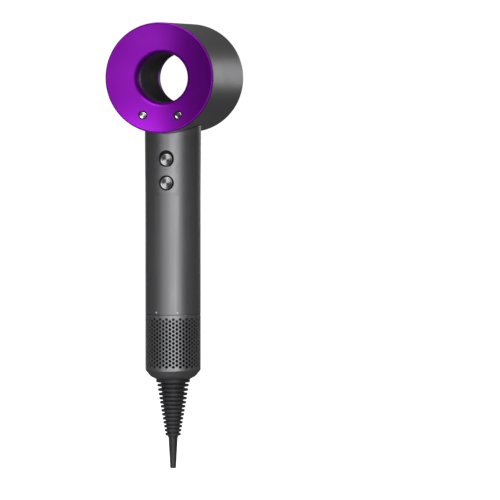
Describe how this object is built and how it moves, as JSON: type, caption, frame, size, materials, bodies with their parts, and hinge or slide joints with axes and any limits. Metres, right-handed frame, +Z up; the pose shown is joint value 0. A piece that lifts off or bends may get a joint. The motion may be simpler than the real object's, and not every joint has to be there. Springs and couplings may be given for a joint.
{
  "type": "hair dryer",
  "caption": "Hand-held hair dryer with an open bore through a short drum head, a round handle with slide and press buttons, a perforated pull-off filter cage and a ribbed cord guard.",
  "frame": {"origin": "centre of the straight grip, on the handle's axis, which is where a hand or a cradle holds the dryer", "axes": "+Z up the handle to the head, +Y along the bore towards the air outlet, -Y the side with the controls"},
  "size_m": [0.078, 0.097, 0.3173],
  "materials": {
    "handle_paint": "satin metallic paint",
    "front_satin": "satin",
    "cage_metal": "satin metallic paint",
    "purple": "satin pearl paint",
    "button_chrome": "spun",
    "black_plastic": "fine texture",
    "bore_plastic": "satin",
    "guard_rubber": "soft matte",
    "lens": "clear",
    "pip_white": "matte",
    "mesh_steel": "fine woven mesh",
    "grey_plastic": "moulded",
    "aluminium": "milled",
    "steel": "plain",
    "copper": "enamelled copper wire",
    "board_green": "solder mask",
    "foam": "open-cell foam",
    "mica": "mica sheet",
    "wire": "silicone insulation"
  },
  "bodies": {
    "dryer": {"acoustic_liner": "foam", "air_guide": "grey_plastic", "airflow_spring": "steel", "alignment_pips": "pip_white", "bearing_bridge": "aluminium", "bearing_lower": "steel", "bearing_upper": "steel", "bore_seal": "guard_rubber", "bore_tube": "bore_plastic", "button_bezel": "black_plastic", "button_wells": "black_plastic", "clamp_screws": "steel", "cold_shot_spring": "steel", "control_board": "board_green", "cord_clamp": "black_plastic", "cord_guard": "guard_rubber", "cowl_screws": "steel", "diffuser_vanes": "aluminium", "duct_liner": "grey_plastic", "filter_mesh": "mesh_steel", "front_ring": "front_satin", "handle_tube": "handle_paint", "head_shell": "handle_paint", "head_switches": "black_plastic", "heat_spring": "steel", "heater_coils": "steel", "heater_frame": "mica", "inlet_bell": "grey_plastic", "inlet_frame": "black_plastic", "magnet_ring": "steel", "motor_board": "board_green", "motor_shroud": "grey_plastic", "motor_sleeve": "guard_rubber", "neck_collar": "grey_plastic", "neck_gasket": "guard_rubber", "neck_screws": "steel", "outlet_lip": "purple", "rear_cowl": "purple", "slide_switch": "black_plastic", "stator_coils": "copper", "stator_core": "steel", "status_lens": "lens", "switch_board": "board_green", "tact_switch": "black_plastic", "thermal_cutout": "steel", "thermistor": "lens", "wiring_loom": "wire"},
    "slider": {"power_slider": "button_chrome"},
    "cold_shot": {"cold_shot_button": "button_chrome"},
    "airflow": {"airflow_button": "button_chrome"},
    "heat": {"heat_button": "button_chrome"},
    "rotor": {"impeller": "aluminium", "motor_shaft": "steel", "rotor_magnet": "steel"},
    "cage": {"filter_cage": "cage_metal"}
  },
  "joints": [
    {"name": "power_slide", "type": "slide", "parent": "dryer", "child": "slider", "axis": [0, 0, 1], "range_m": [0, 0.0016]},
    {"name": "cold_shot_press", "type": "slide", "parent": "dryer", "child": "cold_shot", "axis": [0, 1, 0], "range_m": [0, 0.001], "stiffness_N_per_m": 400, "springref_m": -0.001, "deforming": ["cold_shot_spring"]},
    {"name": "airflow_press", "type": "slide", "parent": "dryer", "child": "airflow", "axis": [-0.1671, 0.9232, -0.3461], "range_m": [0, 0.0008], "stiffness_N_per_m": 300, "springref_m": -0.001, "deforming": ["airflow_spring"]},
    {"name": "heat_press", "type": "slide", "parent": "dryer", "child": "heat", "axis": [0.1671, 0.9232, -0.3461], "range_m": [0, 0.0008], "stiffness_N_per_m": 300, "springref_m": -0.001, "deforming": ["heat_spring"]},
    {"name": "fan_spin", "type": "hinge", "parent": "dryer", "child": "rotor", "pos_m": [0, 0, -0.012], "axis": [0, 0, 1], "continuous": true},
    {"name": "cage_pull", "type": "slide", "parent": "dryer", "child": "cage", "axis": [0, 0, -1], "range_m": [0, 0.055]}
  ]
}
